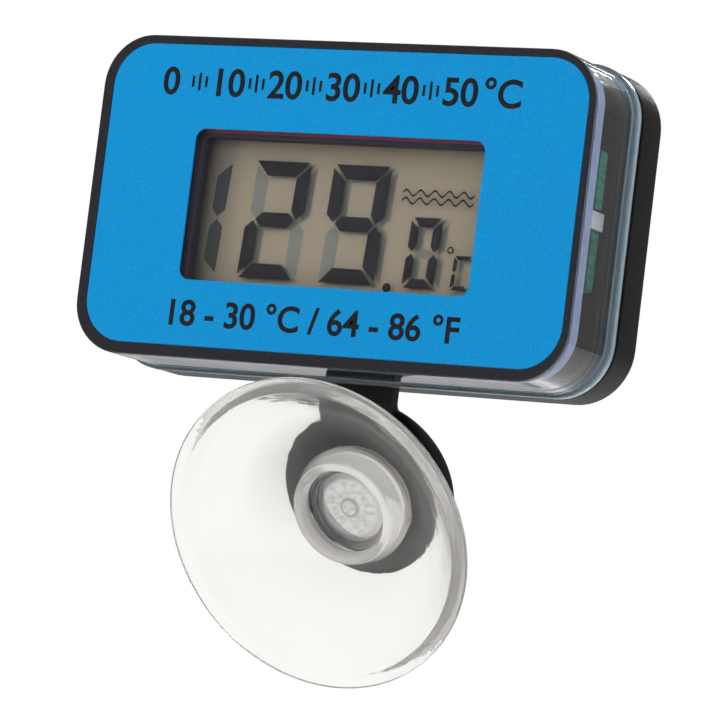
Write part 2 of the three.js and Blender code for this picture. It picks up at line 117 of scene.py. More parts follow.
# Label and print.
FILM = 0.15
LABEL = Sizes(inset=0.05, left=1.2, right=0.72, bottom=1.22, top=0.9, corner=4.4)
WINDOW = (32.3, 15.3, 1.1, 0.15, -0.75)    # width, height, corner, x, z
PRINT = Sizes(thickness=0.02, sunk=0.02, bold=0.018, capital=0.69)    # last two for a font of size 1
SCALE = Sizes(x=-19.6, z=10.3, step=6.5, height=2.7, count=6, unit=4.6)
TICK = Sizes(pitch=0.75, half_width=0.14, long=0.9, short=0.55)
RANGE = Sizes(x=-0.6, z=-13.0, height=2.5)

# Display: digits as (figure, size, x, z), with an empty figure for the unlit leading one.
DIGIT = Sizes(width=6.45, height=11.9, stroke=1.5)
SMALL_DIGIT = Sizes(width=3.45, height=7.05, stroke=0.95)
UNIT = Sizes(width=1.95, height=3.4, stroke=0.42)
DIGITS = [
    ("2", DIGIT, -7.57, -1.53),
    ("9", DIGIT, 1.42, -1.53),
    ("0", SMALL_DIGIT, 9.35, -3.98),
    ("C", UNIT, 13.8, -5.75),
    ("", DIGIT, -16.9, -1.53),
]
SEGMENTS_OF = {"0": "abcdef", "2": "abged", "9": "abcdfg", "C": "adef"}
SLANT = 0.05
SEGMENT_GAP = 0.24
DECIMAL_POINT = (5.89, -7.61, 0.47)        # x, z, radius
DEGREE_RING = (12.38, -3.54, 0.2, 0.37)    # x, z, inner and outer radius
WAVES = Sizes(x=6.4, rows=(1.95, 1.15), length=7.9, count=5, amplitude=0.3, stroke=0.22, steps=48)
INK = 0.012                                # thickness of the lit segments
SHADOW_SHIFT = (0.4, -0.1)
OUTER_SHADOW = 0.16                        # how far a shadow reaches beyond its segment
INNER_SHADOW = -0.1
PRINT_ON_GROUND = 0.004                    # thickness of unlit segments and shadows
SHEETS = [    # node, material, slot, rounding of the edges
    ("lcd_front_glass", "glass", "lcd_glass", 0.08),
    ("lcd_rear_glass", "glass", "lcd_glass", 0.08),
    ("lcd_front_polariser", "polariser", "polariser_film", 0.03),
    ("lcd_rear_polariser", "ground", "reflector_film", 0.03),
    ("lcd_connector_strip", "connector", "connector_rubber", 0.1),
]
FRAME_OPENING = (32.2, 14.8, 0.6, 0.5, -1.2)
FRAME_STEP = 1.15                          # depth of the opening in front of the display
FRAME_LINE = [(-15.4, 6.72), (16.0, 6.72), (16.0, 7.3), (-15.4, 7.3)]
FRAME_LINE_THICKNESS = 0.02

# Suction cup, by radius and by distance from the glass along its axis.
BELL_WALL = 1.2
BELL_CURVE = [(8.8, 7.7), (12.6, 3.4)]     # middle points of the bell's inner curve
LIP = Sizes(inner=15.0, outer=16.5, edge=0.55)
HUB = Sizes(radius=5.5, face=5.6, rib=0.9, recess=3.8, floor=7.5, root=8.2)
GATE = Sizes(radius=0.9, edge=1.05, dip=0.2)    # mark of the mould's gate in the hub
SHOULDER = 6.0
SHOULDER_BACK = 9.4
SHOULDER_TRIM = 0.65
KNOB = Sizes(radius=6.7, side=0.9, bevel=0.9, bevel_rise=2.2, dome=2.4, rise=2.8)
TAB_DISTANCE = 11.9
RUNNING_GAP = 0.3
CLEAR_VINYL = (0.995, 0.98, 0.955)
# Dark end of the vinyl's tone, for its smoky tint and for painted shade.
SHADE_AND_SMOKE_VINYL = (0.1, 0.1, 0.11)
CLOUD = Sizes(hub=0.88, rim=0.73, stem=0.56, bell=0.94, lip=0.86)    # share of light that passes the vinyl

# Camera, light and strengths of the surroundings.
CAMERA = Sizes(azimuth=27.78, elevation=-5.586, roll=7.013, distance=457.4, lens=230, sensor=36)
CAMERA_AIM = (1.65, 7.194, -14.45)
LAMPS = [    # name, place, target and size in metres, power in watts, seen in reflections
    ("key", (-0.25, -0.5, 0.45), (0, 0, 0.02), (0.4, 0.4), 3, False),
    ("side", (0.5, 0.05, 0.4), (0, 0, 0.02), (0.12, 0.25), 1.0, False),
    ("back", (-0.07, 0.6, 0.31), (0, 0, 0.03), (0.1, 0.08), 0.2, True),
]
SURROUNDINGS = Sizes(dark=0.08, behind=0.22, above=0.5, front=0.15, diffuse=0.52, bounced=0.7, inside=2.2)
FLOOR = Sizes(half=900, z=-110)


# -------- mesh helpers

SMOOTH = 35.0    # degrees between faces, below which an edge is shaded smooth


def add_object(name, data):
    """A new object in the scene."""
    obj = bpy.data.objects.new(name, data)
    bpy.context.scene.collection.objects.link(obj)
    return obj


def new_object(name, vertices, faces, place=CASE, smooth=SMOOTH):
    """A mesh object from millimetre points, put in the row frame."""
    mesh = bpy.data.meshes.new(name)
    mesh.from_pydata([tuple(place @ Vector(v) * MM) for v in vertices], [], faces)
    mesh.validate()
    bm = bmesh.new()
    bm.from_mesh(mesh)
    bmesh.ops.remove_doubles(bm, verts=bm.verts, dist=1e-7)
    bmesh.ops.recalc_face_normals(bm, faces=bm.faces)
    bm.to_mesh(mesh)
    bm.free()
    mesh.shade_smooth()
    mesh.set_sharp_from_angle(angle=math.radians(smooth))
    return add_object(name, mesh)


def rectangle(width, height, corner, x=0.0, z=0.0, steps=CORNER_STEPS):
    """Points of a rounded rectangle in XZ, anticlockwise from the lower right corner."""
    points = []
    for quadrant, (sx, sz) in enumerate([(1, -1), (1, 1), (-1, 1), (-1, -1)]):
        for step in range(steps + 1):
            angle = math.pi / 2 * (quadrant - 1 + step / steps)
            points.append((
                x + sx * (width / 2 - corner) + corner * math.cos(angle),
                z + sz * (height / 2 - corner) + corner * math.sin(angle),
            ))
    return points


def loft(name, loops, place=CASE, caps=True):
    """A closed solid through loops of equal length; without caps the last loop joins the first."""
    count = len(loops[0])
    vertices = [point for loop in loops for point in loop]
    faces = []
    rows = len(loops) if not caps else len(loops) - 1
    for row in range(rows):
        here, there = row * count, (row + 1) % len(loops) * count
        for i in range(count):
            j = (i + 1) % count
            faces.append((here + i, here + j, there + j, there + i))
    if caps:
        faces.append(tuple(range(count - 1, -1, -1)))
        last = (len(loops) - 1) * count
        faces.append(tuple(range(last, last + count)))
    return new_object(name, vertices, faces, place)


def around(outline, profile):
    """Loops of a rounded rectangle, one for each (outward distance, y) of the profile."""
    width, height, corner = outline[:3]
    x, z = outline[3:] if len(outline) > 3 else (0.0, 0.0)
    loops = []
    for out, y in profile:
        points = rectangle(width + 2 * out, height + 2 * out, max(corner + out, 0.05), x, z)
        loops.append([(px, y, pz) for px, pz in points])
    return loops


def rounded(points, radius=0.3, steps=5, closed=False):
    """A polyline with its corners rounded; a point may carry its own radius as a third value."""
    result = []
    count = len(points)
    for i, point in enumerate(points):
        here = Vector(point[:2])
        size = point[2] if len(point) > 2 else radius
        if (not closed and i in (0, count - 1)) or size == 0:
            result.append(tuple(here))
            continue
        back = Vector(points[i - 1][:2]) - here
        ahead = Vector(points[(i + 1) % count][:2]) - here
        reach = min(size, back.length * 0.49, ahead.length * 0.49)
        start, end = here + back.normalized() * reach, here + ahead.normalized() * reach
        for step in range(steps + 1):
            t = step / steps
            result.append(tuple((1 - t) ** 2 * start + 2 * t * (1 - t) * here + t ** 2 * end))
    return result


def turned(name, profile, place=CASE, segments=128, smooth=SMOOTH, centre=(0.0, 0.0), closed=False):
    """A body turned about the local Y axis from (radius, y) points."""
    vertices, faces, rings = [], [], []
    for radius, y in profile:
        if radius < 1e-6:
            rings.append([len(vertices)])
            vertices.append((centre[0], y, centre[1]))
            continue
        rings.append(list(range(len(vertices), len(vertices) + segments)))
        for i in range(segments):
            angle = 2 * math.pi * i / segments
            x = centre[0] + radius * math.sin(angle)
            z = centre[1] + radius * math.cos(angle)
            vertices.append((x, y, z))
    pairs = list(zip(rings, rings[1:]))
    if closed:
        pairs.append((rings[-1], rings[0]))
    for low, high in pairs:
        for i in range(segments):
            j = (i + 1) % segments
            corners = [low[i % len(low)], low[j % len(low)], high[j % len(high)], high[i % len(high)]]
            unique = list(dict.fromkeys(corners))
            if len(unique) > 2:
                faces.append(tuple(unique))
    return new_object(name, vertices, faces, place, smooth)


def block(name, low, high, edge):
    """A small moulded block with rounded edges."""
    (x0, y0, z0), (x1, y1, z1) = low, high
    vertices = [(x, y, z) for x in (x0, x1) for y in (y0, y1) for z in (z0, z1)]
    faces = [(0, 1, 3, 2), (4, 6, 7, 5), (0, 4, 5, 1), (2, 3, 7, 6), (0, 2, 6, 4), (1, 5, 7, 3)]
    obj = new_object(name, vertices, faces)
    bevel(obj, edge)
    return obj


def apply_modifiers(obj):
    """Replaces an object's mesh by what its modifiers make of it."""
    depsgraph = bpy.context.evaluated_depsgraph_get()
    evaluated = obj.evaluated_get(depsgraph)
    mesh = bpy.data.meshes.new_from_object(evaluated, depsgraph=depsgraph)
    obj.modifiers.clear()
    obj.data = mesh
    mesh.shade_smooth()
    mesh.set_sharp_from_angle(angle=math.radians(SMOOTH))


def bevel(obj, width, angle=40.0):
    """Rounds an object's sharp edges."""
    modifier = obj.modifiers.new("edges", "BEVEL")
    modifier.width = width * MM
    modifier.segments = 3
    modifier.limit_method = "ANGLE"
    modifier.angle_limit = math.radians(angle)
    apply_modifiers(obj)


def combine(obj, tool, operation):
    """Joins or cuts obj with a tool that is then thrown away."""
    modifier = obj.modifiers.new(operation, "BOOLEAN")
    modifier.operation = operation
    modifier.solver = "EXACT"
    modifier.object = tool
    apply_modifiers(obj)
    bpy.data.objects.remove(tool, do_unlink=True)


# -------- materials

class Nodes:
    """Short-hand for building a node material round one Principled shader."""

    def __init__(self, name, color=(0.8, 0.8, 0.8), roughness=0.5, **sockets):
        self.material = bpy.data.materials.new(name)
        self.material.use_nodes = True
        self.tree = self.material.node_tree
        self.tree.nodes.clear()
        self.output = self.tree.nodes.new("ShaderNodeOutputMaterial")
        self.shader = self.tree.nodes.new("ShaderNodeBsdfPrincipled")
        self.link(self.shader.outputs[0], self.output.inputs[0])
        self.shader.inputs["Base Color"].default_value = (*color, 1)
        self.shader.inputs["Roughness"].default_value = roughness
        for socket, value in sockets.items():
            self.shader.inputs[socket.replace("_", " ")].default_value = value

    def link(self, output, socket):
        self.tree.links.new(output, socket)

    def node(self, kind, **settings):
        node = self.tree.nodes.new("ShaderNode" + kind)
        for key, value in settings.items():
            if hasattr(node, key):
                setattr(node, key, value)
            else:
                node.inputs[key.replace("_", " ")].default_value = value
        return node

    def math(self, operation, first, second):
        """One arithmetic step between outputs or plain numbers."""
        node = self.node("Math", operation=operation)
        for socket, value in zip(node.inputs, (first, second)):
            if isinstance(value, (int, float)):
                socket.default_value = value
            else:
                self.link(value, socket)
        return node.outputs[0]

    def place(self, scale=(1, 1, 1), turn=(0, 0, 0)):
        """Object coordinates in millimetres, stretched and turned."""
        coordinates = self.node("TexCoord")
        mapping = self.node("Mapping")
        mapping.inputs["Scale"].default_value = [s / MM for s in scale]
        mapping.inputs["Rotation"].default_value = turn
        self.link(coordinates.outputs["Object"], mapping.inputs["Vector"])
        return mapping.outputs["Vector"]

    def axes(self, vector):
        """The x, y and z of a vector."""
        parts = self.node("SeparateXYZ")
        self.link(vector, parts.inputs[0])
        return parts.outputs

    def noise(self, scale, detail=4.0, stretch=(1, 1, 1)):
        """Noise with `scale` cells to the millimetre."""
        noise = self.node("TexNoise", Scale=scale, Detail=detail)
        self.link(self.place(stretch), noise.inputs["Vector"])
        return noise.outputs["Fac"]

    def mapped(self, value, low, high, source=(0.3, 0.7)):
        """`low` to `high` while the value goes through the source range."""
        ramp = self.node("MapRange", From_Min=source[0], From_Max=source[1], To_Min=low, To_Max=high)
        self.link(value, ramp.inputs["Value"])
        return ramp.outputs["Result"]

    def blend(self, value, first, second, source=(0.3, 0.7)):
        """Base colour between two colours."""
        mix = self.node("Mix", data_type="RGBA")
        colour_sockets = [s for s in mix.inputs if s.type == "RGBA"]
        colour_sockets[0].default_value = (*first, 1)
        colour_sockets[1].default_value = (*second, 1)
        self.link(self.mapped(value, 0.0, 1.0, source), mix.inputs[0])
        result = next(s for s in mix.outputs if s.type == "RGBA")
        self.link(result, self.shader.inputs["Base Color"])
        return self

    def vary(self, scale, color, factor):
        """Base colour between a colour and that colour times a factor."""
        return self.blend(self.noise(scale), color, tuple(min(1.0, c * factor) for c in color))

    def rough(self, value, low, high, source=(0.3, 0.7)):
        """Roughness between two values."""
        self.link(self.mapped(value, low, high, source), self.shader.inputs["Roughness"])
        return self

    def bump(self, value, height, strength=1.0):
        """Relief of the given height in millimetres."""
        bump = self.node("Bump", Strength=strength, Distance=height * MM)
        self.link(value, bump.inputs["Height"])
        self.link(bump.outputs["Normal"], self.shader.inputs["Normal"])
        return self


def clear_plastic():
    """Polished clear moulding with a faint swirl, and painted light on the flange, which turns paler and less
    clear.
    """
    clear = (0.98, 0.985, 1.0)
    rim_painted_light = (0.6, 0.78, 0.9)
    look = Nodes("clear_plastic", clear, 0.02, IOR=1.5)
    depth = look.axes(look.place())["Y"]
    flange = (FACE_Y + FLANGE_FRONT + 0.45, FACE_Y + FLANGE_FRONT + 0.6)
    # Painted light on the flange: it turns less clear and pale blue-white, like a lit rim.
    look.link(look.mapped(depth, 1.0, 0.6, flange), look.shader.inputs["Transmission Weight"])
    look.blend(depth, clear, rim_painted_light, flange)
    look.bump(look.noise(0.25, 2.0), 0.02, 0.5)
    return look.rough(look.noise(3.0), 0.015, 0.04).material


def soft_pvc():
    """Clear soft vinyl, cloudier in the thick middle and at the lip, smoky in the stem and the hub's floor, with
    painted shade on the bell near the hub and in the hub's front groove.
    """
    look = Nodes("soft_pvc", CLEAR_VINYL, 0.1, IOR=1.35, Specular_IOR_Level=0.5)
    place = look.place(turn=(-LEAN, 0, 0))
    flat = look.node("VectorMath", operation="MULTIPLY")
    flat.inputs[1].default_value = (1, 0, 1)
    look.link(place, flat.inputs[0])
    length = look.node("VectorMath", operation="LENGTH")
    look.link(flat.outputs["Vector"], length.inputs[0])
    radius = length.outputs["Value"]
    axes = look.axes(place)

    def within(start, end, low=0.0, high=1.0):
        """From low to high as the radius grows from start to end."""
        return look.mapped(radius, low, high, (start, end))

    def along(start, end, low=0.0, high=1.0):
        """From low to high as the distance from the glass grows from start to end."""
        return look.mapped(axes["Y"], low, high, (start, end))

    def times(first, second):
        return look.math("MULTIPLY", first, second)

    def larger(first, second):
        return look.math("MAXIMUM", first, second)

    def smaller(first, second):
        return look.math("MINIMUM", first, second)

    core = smaller(along(7.6, 8.4, CLOUD.hub, CLOUD.stem), within(4.4, 4.7, 1.0, CLOUD.rim))
    bell = times(within(6.0, 6.2, 0.0, CLOUD.bell), along(11.0, 11.5, 1.0, 0.0))
    lip = within(14.6, 15.2, CLOUD.bell, CLOUD.lip)
    look.link(smaller(larger(core, bell), lip), look.shader.inputs["Transmission Weight"])

    upper_side = look.mapped(axes["Z"], 0.15, 1.0, (-4.0, 5.0))
    left_side = look.mapped(axes["X"], 0.9, 0.35, (-1.5, 3.5))
    # Painted shade: the bell darkens towards the hub, most on its upper side.
    bell_painted_shade = times(times(within(5.7, 6.2), within(6.0, 11.5, 0.46, 0.0)), upper_side)
    stem_smoke = times(within(5.9, 6.3, 1.0, 0.0), along(7.6, 8.4, 0.0, 0.14))
    # Painted shade in the hub's front groove, darkest on its left.
    groove = times(times(within(2.7, 3.2), within(4.1, 4.4, 1.0, 0.0)), left_side)
    swirl = look.mapped(look.noise(1.5, 6.0, (1, 1, 1.6)), 0.0, 0.5, (0.38, 0.62))
    gate = times(within(0.6, 0.8, 0.0, 0.7), within(0.95, 1.25, 1.0, 0.0))
    floor = larger(times(within(2.7, 3.2, 1.0, 0.0), swirl), gate)
    # The hub's front: painted shade in the groove, smoky swirls and the gate's mark.
    front_shade_and_smoke = times(along(7.6, 8.0, 1.0, 0.0), larger(groove, floor))
    shade_and_smoke = larger(larger(bell_painted_shade, stem_smoke), front_shade_and_smoke)
    look.blend(shade_and_smoke, CLEAR_VINYL, SHADE_AND_SMOKE_VINYL, (0.0, 1.0))
    look.bump(look.noise(0.35, 3.0), 0.12, 0.8)
    return look.rough(look.noise(2.0), 0.05, 0.12).material


def frosted(name, dark, light, through):
    """Unpolished clear moulding; the pale colours given to it are painted light."""
    look = Nodes(name, dark, 0.5, Transmission_Weight=through, IOR=1.3)
    look.blend(look.noise(0.8), dark, light)
    return look.rough(look.noise(3.0), 0.4, 0.6).material


def blue_print():
    """Blue printing ink with a fine grain."""
    look = Nodes("blue_print", (0.004, 0.25, 0.6), 0.6, Specular_IOR_Level=0.12)
    grain = look.noise(7.0, 3.0)
    look.blend(grain, (0.001, 0.22, 0.525), (0.008, 0.3, 0.655))
    return look.rough(look.noise(5.0), 0.48, 0.62).bump(grain, 0.01, 0.6).material


def black_print():
    """Black printing ink of the label's border."""
    look = Nodes("black_print", (0.008, 0.008, 0.01), 0.3, Specular_IOR_Level=0.3)
    look.blend(look.noise(6.0), (0.018, 0.018, 0.022), (0.028, 0.028, 0.034))
    return look.rough(look.noise(4.0), 0.25, 0.4).material


def black_moulding(name="black_moulding", roughness=0.42, gloss=0.3):
    """Satin black plastic with a fine spark-eroded texture."""
    look = Nodes(name, (0.006, 0.006, 0.007), roughness, Specular_IOR_Level=gloss)
    grain = look.noise(9.0, 4.0)
    look.blend(look.noise(1.2), (0.004, 0.004, 0.005), (0.008, 0.008, 0.009))
    return look.rough(look.noise(3.0), roughness - 0.06, roughness + 0.08).bump(grain, 0.012, 0.5).material


def rubber(name="seal_rubber", color=(0.02, 0.02, 0.021)):
    """Matt rubber."""
    look = Nodes(name, color, 0.65, Specular_IOR_Level=0.15)
    look.vary(4.0, color, 1.6)
    return look.rough(look.noise(6.0), 0.55, 0.8).bump(look.noise(8.0), 0.01, 0.4).material


def sheet_glass():
    """Thin display glass: light passes straight through it, with a weak reflection."""
    look = Nodes("sheet_glass", (0.1, 0.11, 0.1), 0.03, Alpha=0.03, IOR=1.5)
    return look.rough(look.noise(1.0), 0.02, 0.05).material


def polariser_film():
    """Front film of the display, almost clear."""
    look = Nodes("polariser_film", (0.1, 0.1, 0.08), 0.2, Alpha=0.04, IOR=1.5)
    return look.rough(look.noise(3.0), 0.12, 0.25).material


def display_ground():
    """The reflector behind the display: khaki grey with a fine grain, with a painted shadow of the frame darkening
    its left edge.
    """
    look = Nodes("display_ground", (0.5, 0.43, 0.3), 0.6, Specular_IOR_Level=0.2)
    grain = look.noise(6.0, 3.0, (1, 1, 0.25))
    # Painted shadow of the frame: the ground darkens towards its left edge.
    edge = look.mapped(look.axes(look.place())["X"], 0.0, 1.0, (-16.5, -12.0))
    shade = look.math("MULTIPLY", edge, look.mapped(grain, 0.9, 1.0))
    look.blend(shade, (0.22, 0.21, 0.19), (0.64, 0.54, 0.39), (0.0, 1.0))
    return look.rough(look.noise(4.0), 0.5, 0.7).bump(grain, 0.01, 0.3).material


def flat_ink(name, color, roughness=0.6):
    """Matt ink or film with a slight unevenness."""
    look = Nodes(name, color, roughness, Specular_IOR_Level=0.2)
    look.vary(5.0, color, 1.15)
    return look.rough(look.noise(5.0), roughness - 0.06, roughness + 0.06).material


def board_laminate():
    """Green solder mask over fine copper tracks."""
    look = Nodes("board_laminate", (0.01, 0.13, 0.07), 0.35, Specular_IOR_Level=0.12)
    tracks = look.noise(0.6, 1.0, (1, 1, 3))
    look.blend(tracks, (0.008, 0.12, 0.09), (0.02, 0.2, 0.14), (0.45, 0.55))
    return look.rough(look.noise(3.0), 0.28, 0.42).bump(tracks, 0.03, 0.4).material


def metal(name, color, roughness=0.3):
    """Brushed metal."""
    look = Nodes(name, color, roughness, Metallic=1.0)
    brushed = look.noise(2.0, 3.0, (1, 1, 6))
    look.blend(brushed, tuple(c * 0.85 for c in color), color)
    return look.rough(brushed, roughness - 0.08, roughness + 0.1).bump(brushed, 0.004, 0.4).material


def glazed(name, color, roughness=0.25):
    """Smooth resin, ceramic or nylon."""
    look = Nodes(name, color, roughness)
    look.vary(2.5, color, 1.3)
    return look.rough(look.noise(3.0), roughness, roughness + 0.15).bump(look.noise(2.0), 0.02, 0.3).material


def floor_paint():
    """Pale matt floor."""
    look = Nodes("floor_paint", (0.9, 0.9, 0.9), 0.7)
    look.blend(look.noise(0.02), (0.88, 0.88, 0.88), (0.92, 0.92, 0.92))
    return look.material


MATERIALS = {
    "clear": clear_plastic(),
    "pvc": soft_pvc(),
    # The ledge's lavender is a painted reflection of the label's back seen in the clear wall.
    "ledge": frosted("ledge_painted_reflection", (0.28, 0.37, 0.6), (0.37, 0.46, 0.7), 0.1),
    # The hook's pale colour is painted light, standing for light caught in the clear moulding.
    "hook": frosted("hook_painted_light", (0.6, 0.63, 0.7), (0.8, 0.83, 0.9), 0.3),
    "blue": blue_print(),
    "black_print": black_print(),
    "print": flat_ink("printed_figures", (0.012, 0.012, 0.016), 0.5),
    "film_back": flat_ink("film_back", (0.24, 0.24, 0.31), 0.5),
    "black": black_moulding(),
    "spigot": black_moulding("spigot_moulding", 0.5, 0.08),
    "cap": black_moulding("cap_moulding", 0.38),
    "dark_frame": flat_ink("frame_moulding", (0.055, 0.047, 0.07), 0.55),
    "rubber": rubber(),
    "glass": sheet_glass(),
    "polariser": polariser_film(),
    "ground": display_ground(),
    "frame_line": flat_ink("frame_line", (0.34, 0.07, 0.12)),
    "segment": flat_ink("segment_ink", (0.035, 0.032, 0.042)),
    "ghost": flat_ink("unlit_segment", (0.36, 0.36, 0.32)),
    # Unlit segment darkened by painted shade, for the leading one in the frame's shadow at the left edge.
    "ghost_in_painted_shade": flat_ink("unlit_segment_painted_shade", (0.085, 0.1, 0.105)),
    "shade_outer": flat_ink("segment_shade_outer", (0.42, 0.385, 0.30)),
    "shade_inner": flat_ink("segment_shade_inner", (0.28, 0.28, 0.25)),
    "connector": rubber("connector_rubber", (0.5, 0.3, 0.26)),
    "board": board_laminate(),
    "resin": glazed("chip_resin", (0.008, 0.008, 0.009), 0.15),
    "ceramic": glazed("ceramic_body", (0.42, 0.27, 0.14), 0.4),
    "solder": metal("tinned_metal", (0.75, 0.75, 0.73), 0.25),
    "steel": metal("cell_steel", (0.72, 0.72, 0.73), 0.22),
    "brass": metal("contact_brass", (0.82, 0.62, 0.28), 0.25),
    "nylon": glazed("cell_gasket_nylon", (0.1, 0.14, 0.1), 0.4),
}


def finish_piece(obj, material, body="case", replaces=()):
    """Gives a piece its material, its body and the nodes that it stands for."""
    obj.data.materials.clear()
    obj.data.materials.append(MATERIALS[material])
    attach(obj, body)
    if replaces:
        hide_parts(*replaces)
    return obj


# -------- case

def front_shell():
    """Panel, walls and flange in one tray, with its ledge, posts and hooks."""
    profile = rounded([
        (-6.0, 0.0, 0), (0.0, 0.0, 0.15), (0.0, FLANGE_FRONT, 0.12), (FLANGE_REACH, FLANGE_FRONT, 0.12),
        (FLANGE_REACH, SHELL_DEPTH, 0.1), (-WALL, SHELL_DEPTH, 0.15), (-WALL, PANEL, 0.5), (-7.0, PANEL, 0),
    ])
    shell = loft("front_shell_clear", around(FRONT, profile))
    finish_piece(shell, "clear", replaces=["front_shell"])
    inner = (FRONT[0] - 2 * WALL, FRONT[1] - 2 * WALL, FRONT[2] - WALL)
    front, back = PANEL + JOIN, PANEL + LEDGE.depth
    section = [(-JOIN, front), (-JOIN, back), (-LEDGE.width, back), (-LEDGE.width, front)]
    section = rounded(section, LEDGE.edge, closed=True)
    # The ledge carries a painted reflection of the label's back, seen in the clear wall.
    finish_piece(loft("shell_ledge", around(inner, section), caps=False), "ledge")
    posts()
    for side in (-1, 1):
        hook(side)


def posts():
    """Four posts with pins that hold the board."""
    shoulder = BOARD_LOW.y - FACE_Y - POST.step
    tip = BOARD_HIGH.y - FACE_Y + POST.proud
    radius, pin = POST.radius, POST.pin
    profile = rounded([
        (0.0, PANEL + JOIN), (radius, PANEL + JOIN, 0), (radius, shoulder, 0.1),
        (pin, shoulder, 0.05), (pin, tip, 0.2), (0.0, tip),
    ])
    for number, (sx, sz) in enumerate([(-1, -1), (1, -1), (1, 1), (-1, 1)], 1):
        centre = (sx * POST.x, sz * POST.z)
        post = turned(f"shell_post_{number}", profile, segments=32, centre=centre)
        finish_piece(post, "clear")


def hook(side):
    """A snap finger beside the board, with its barb behind it."""
    front = PANEL + JOIN
    barb = BOARD_HIGH.y - FACE_Y + HOOK.gap
    inner, outer, tooth = HOOK.inner, HOOK.outer, HOOK.tooth
    outline = [
        (inner, front), (outer, front), (outer, barb + HOOK.tip), (inner, barb + HOOK.tip),
        (tooth, barb + HOOK.barb), (tooth, barb), (inner, barb),
    ]
    loops = [[(side * x, y, z) for x, y in outline] for z in (HOOK.bottom, HOOK.top)]
    finger = loft("shell_hook_right" if side > 0 else "shell_hook_left", loops)
    bevel(finger, HOOK.edge)
    # The hook's pale colour is painted light caught in the clear moulding.
    finish_piece(finger, "hook")


def label():
    """Printed film: blue field, black border and the window for the display."""
    width, height, corner = FRONT
    inset = LABEL.inset
    outer = (width - 2 * inset, height - 2 * inset, corner - inset)
    blue = (
        width - LABEL.left - LABEL.right,
        height - LABEL.top - LABEL.bottom,
        LABEL.corner,
        (LABEL.left - LABEL.right) / 2,
        (LABEL.bottom - LABEL.top) / 2,
    )
    joint = (blue[0] + 2 * JOIN, blue[1] + 2 * JOIN, *blue[2:])

    def ring(name, outside, inside, crown, material):
        section_out = [(0.0, 0.0), (0.0, crown - FILM), (-crown, -FILM)]
        section_in = [(crown, -FILM), (0.0, crown - FILM), (0.0, 0.0)]
        film = loft(name, around(outside, section_out) + around(inside, section_in), caps=False)
        finish_piece(film, material, replaces=["front_label"])
        film.data.materials.append(MATERIALS["film_back"])
        for face in film.data.polygons:
            if face.normal.y > 0.9:
                face.material_index = 1

    ring("label_blue_field", blue, WINDOW, 0.05, "blue")
    ring("label_black_border", outer, joint, 0.08, "black_print")


def figures(name, text, x, z, height):
    """Printed numerals standing on z, centred on x, as one thin raised print."""
    curve = bpy.data.curves.new(name, "FONT")
    curve.body = text
    curve.align_x = "CENTER"
    curve.size = 1.0
    curve.offset = PRINT.bold
    carrier = add_object(name + "_carrier", curve)
    depsgraph = bpy.context.evaluated_depsgraph_get()
    flat = bpy.data.meshes.new_from_object(carrier.evaluated_get(depsgraph), depsgraph=depsgraph)
    bpy.data.objects.remove(carrier, do_unlink=True)
    scale = height / PRINT.capital
    place = CASE @ Matrix.Translation((x, -FILM - PRINT.thickness, z))
    place = place @ Matrix.Rotation(math.pi / 2, 4, "X") @ Matrix.Scale(scale, 4)
    bm = bmesh.new()
    bm.from_mesh(flat)
    bmesh.ops.remove_doubles(bm, verts=bm.verts, dist=1e-4)
    top = bmesh.ops.extrude_face_region(bm, geom=bm.faces[:])
    moved = [v for v in top["geom"] if isinstance(v, bmesh.types.BMVert)]
    bmesh.ops.translate(bm, verts=moved, vec=(0, 0, -(PRINT.thickness + PRINT.sunk) / scale))
    bmesh.ops.transform(bm, matrix=Matrix.Scale(MM, 4) @ place, verts=bm.verts)
    bmesh.ops.recalc_face_normals(bm, faces=bm.faces)
    mesh = bpy.data.meshes.new(name)
    bm.to_mesh(mesh)
    bm.free()
    return finish_piece(add_object(name, mesh), "print")


def printed_marks():
    """A generic degree scale above the window and a generic range below it."""
    bottom, height = SCALE.z, SCALE.height
    ticks = []
    for number in range(SCALE.count):
        x = SCALE.x + number * SCALE.step
        figures(f"label_scale_{number * 10}", str(number * 10), x, bottom, height)
        if number == SCALE.count - 1:
            break
        for tick in (-1, 0, 1):
            reach = TICK.long if tick == 0 else TICK.short
            middle = x + SCALE.step / 2 + tick * TICK.pitch
            left, right = middle - TICK.half_width, middle + TICK.half_width
            low, high = bottom + height / 2 - reach, bottom + height / 2 + reach
            ticks.append([(left, low), (right, low), (right, high), (left, high)])
    thickness = PRINT.thickness + PRINT.sunk
    plates("label_scale_ticks", ticks, -FILM - PRINT.thickness, thickness, "print")
    figures("label_scale_unit", "\u00b0C", x + SCALE.unit, bottom, height)
    figures("label_range", "18 - 30 \u00b0C / 64 - 86 \u00b0F", RANGE.x, RANGE.z, RANGE.height)


